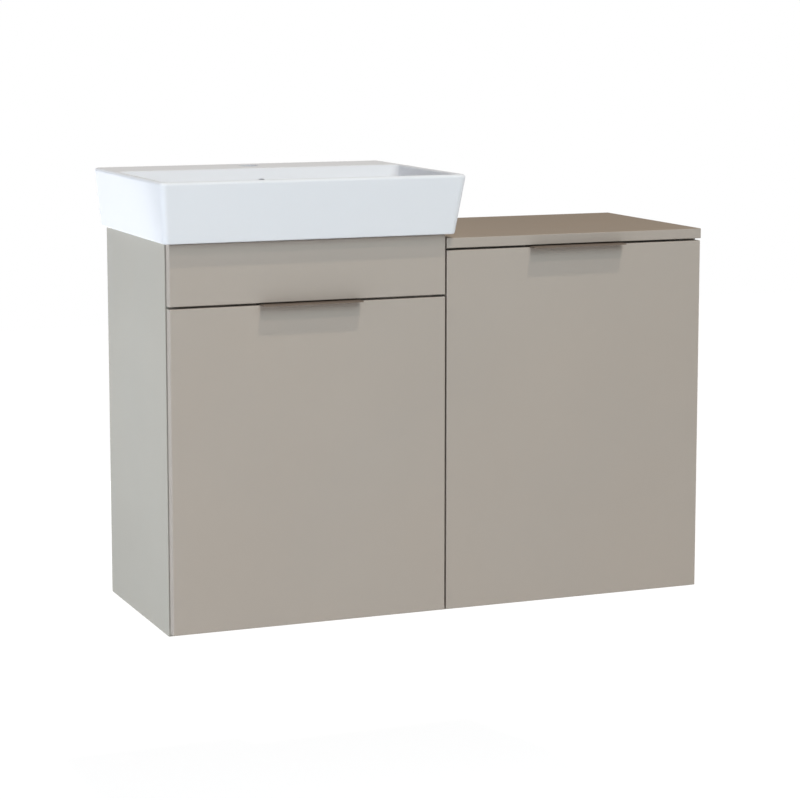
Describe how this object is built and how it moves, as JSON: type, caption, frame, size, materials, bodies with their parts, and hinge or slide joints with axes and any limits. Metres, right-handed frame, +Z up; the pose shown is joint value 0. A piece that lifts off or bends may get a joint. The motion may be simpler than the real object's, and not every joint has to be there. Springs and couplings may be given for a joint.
{
  "type": "wall-hung vanity unit",
  "caption": "Wall-hung vanity run: ceramic basin over a deep drawer, beside a lower cabinet with worktop and a tilt-out laundry front.",
  "frame": {"origin": "on the wall plane, on the basin's centre line, at the underside of the cabinets", "axes": "+X to the right as seen from the front, +Y into the wall, +Z up; the fronts face -Y"},
  "size_m": [1.0224, 0.4158, 0.775],
  "materials": {
    "ceramic": "white glazed sanitary ceramic",
    "lacquered_front": "matt warm grey lacquer on fibreboard",
    "worktop": "matt warm grey laminate board",
    "carcass_board": "matt warm grey melamine on particle board",
    "drawer_board": "matt warm grey melamine on particle board",
    "back_board": "painted thin fibreboard",
    "bronze_pull": "satin bronze anodised",
    "zinc_steel": "bright zinc plate",
    "coated_steel": "grey powder coat",
    "fitting_plastic": "moulded",
    "basket_plastic": "moulded, fine matt grain",
    "soft_buffer": "translucent silicone"
  },
  "bodies": {
    "cabinets": {"basin": "ceramic", "basin_cabinet_side_left": "carcass_board", "basin_cabinet_side_right": "carcass_board", "basin_cabinet_bottom": "carcass_board", "basin_cabinet_front_rail": "carcass_board", "basin_cabinet_hanging_rail": "carcass_board", "basin_cabinet_lower_rail": "carcass_board", "basin_hanger_left": "zinc_steel", "basin_hanger_right": "zinc_steel", "basin_wall_plates": "zinc_steel", "basin_cabinet_cover_caps": "fitting_plastic", "fascia": "lacquered_front", "fascia_screws": "zinc_steel", "drawer_bumpers": "soft_buffer", "runner_cabinet_rail_left": "zinc_steel", "runner_cabinet_rail_right": "zinc_steel", "side_cabinet_side_left": "carcass_board", "side_cabinet_side_right": "carcass_board", "side_cabinet_bottom": "carcass_board", "side_cabinet_front_rail": "carcass_board", "side_cabinet_hanging_rail": "carcass_board", "side_cabinet_back": "back_board", "side_hanger_left": "zinc_steel", "side_hanger_right": "zinc_steel", "side_wall_plates": "zinc_steel", "side_cabinet_cover_caps": "fitting_plastic", "worktop": "worktop", "worktop_screws": "zinc_steel", "tilt_bumpers": "soft_buffer", "hinge_arm_left": "zinc_steel", "hinge_arm_right": "zinc_steel", "hinge_plates": "zinc_steel", "stay_pegs": "zinc_steel", "connector_screws": "zinc_steel"},
    "drawer": {"drawer_front": "lacquered_front", "drawer_pull": "bronze_pull", "drawer_pull_screws": "zinc_steel", "drawer_front_screws": "zinc_steel", "drawer_inner_front": "drawer_board", "drawer_side_left": "drawer_board", "drawer_side_right": "drawer_board", "drawer_back": "drawer_board", "drawer_bottom": "drawer_board", "drawer_catches": "fitting_plastic", "runner_drawer_rail_left": "zinc_steel", "runner_drawer_rail_right": "zinc_steel"},
    "runner_middles": {"runner_middle_rail_left": "zinc_steel", "runner_middle_rail_right": "zinc_steel"},
    "tilt_out": {"tilt_front": "lacquered_front", "tilt_pull": "bronze_pull", "tilt_pull_screws": "zinc_steel", "hinge_cup_left": "zinc_steel", "hinge_cup_right": "zinc_steel", "hinge_pins": "zinc_steel", "stay_left": "zinc_steel", "stay_right": "zinc_steel", "basket_rail": "coated_steel", "basket_buffers": "soft_buffer", "laundry_basket": "basket_plastic"}
  },
  "joints": [
    {"name": "drawer_slide", "type": "slide", "parent": "cabinets", "child": "drawer", "axis": [0, -1, 0], "range_m": [0, 0.26]},
    {"name": "runner_slide", "type": "slide", "parent": "cabinets", "child": "runner_middles", "axis": [0, -1, 0], "range_m": [0, 0.13]},
    {"name": "front_tilt", "type": "hinge", "parent": "cabinets", "child": "tilt_out", "pos_m": [0.5, -0.366, 0.0144], "axis": [1, 0, 0], "range_deg": [0, 32]}
  ],
  "couplings": [
    {"joint": "runner_slide", "follows": "drawer_slide", "ratio": 0.5}
  ]
}
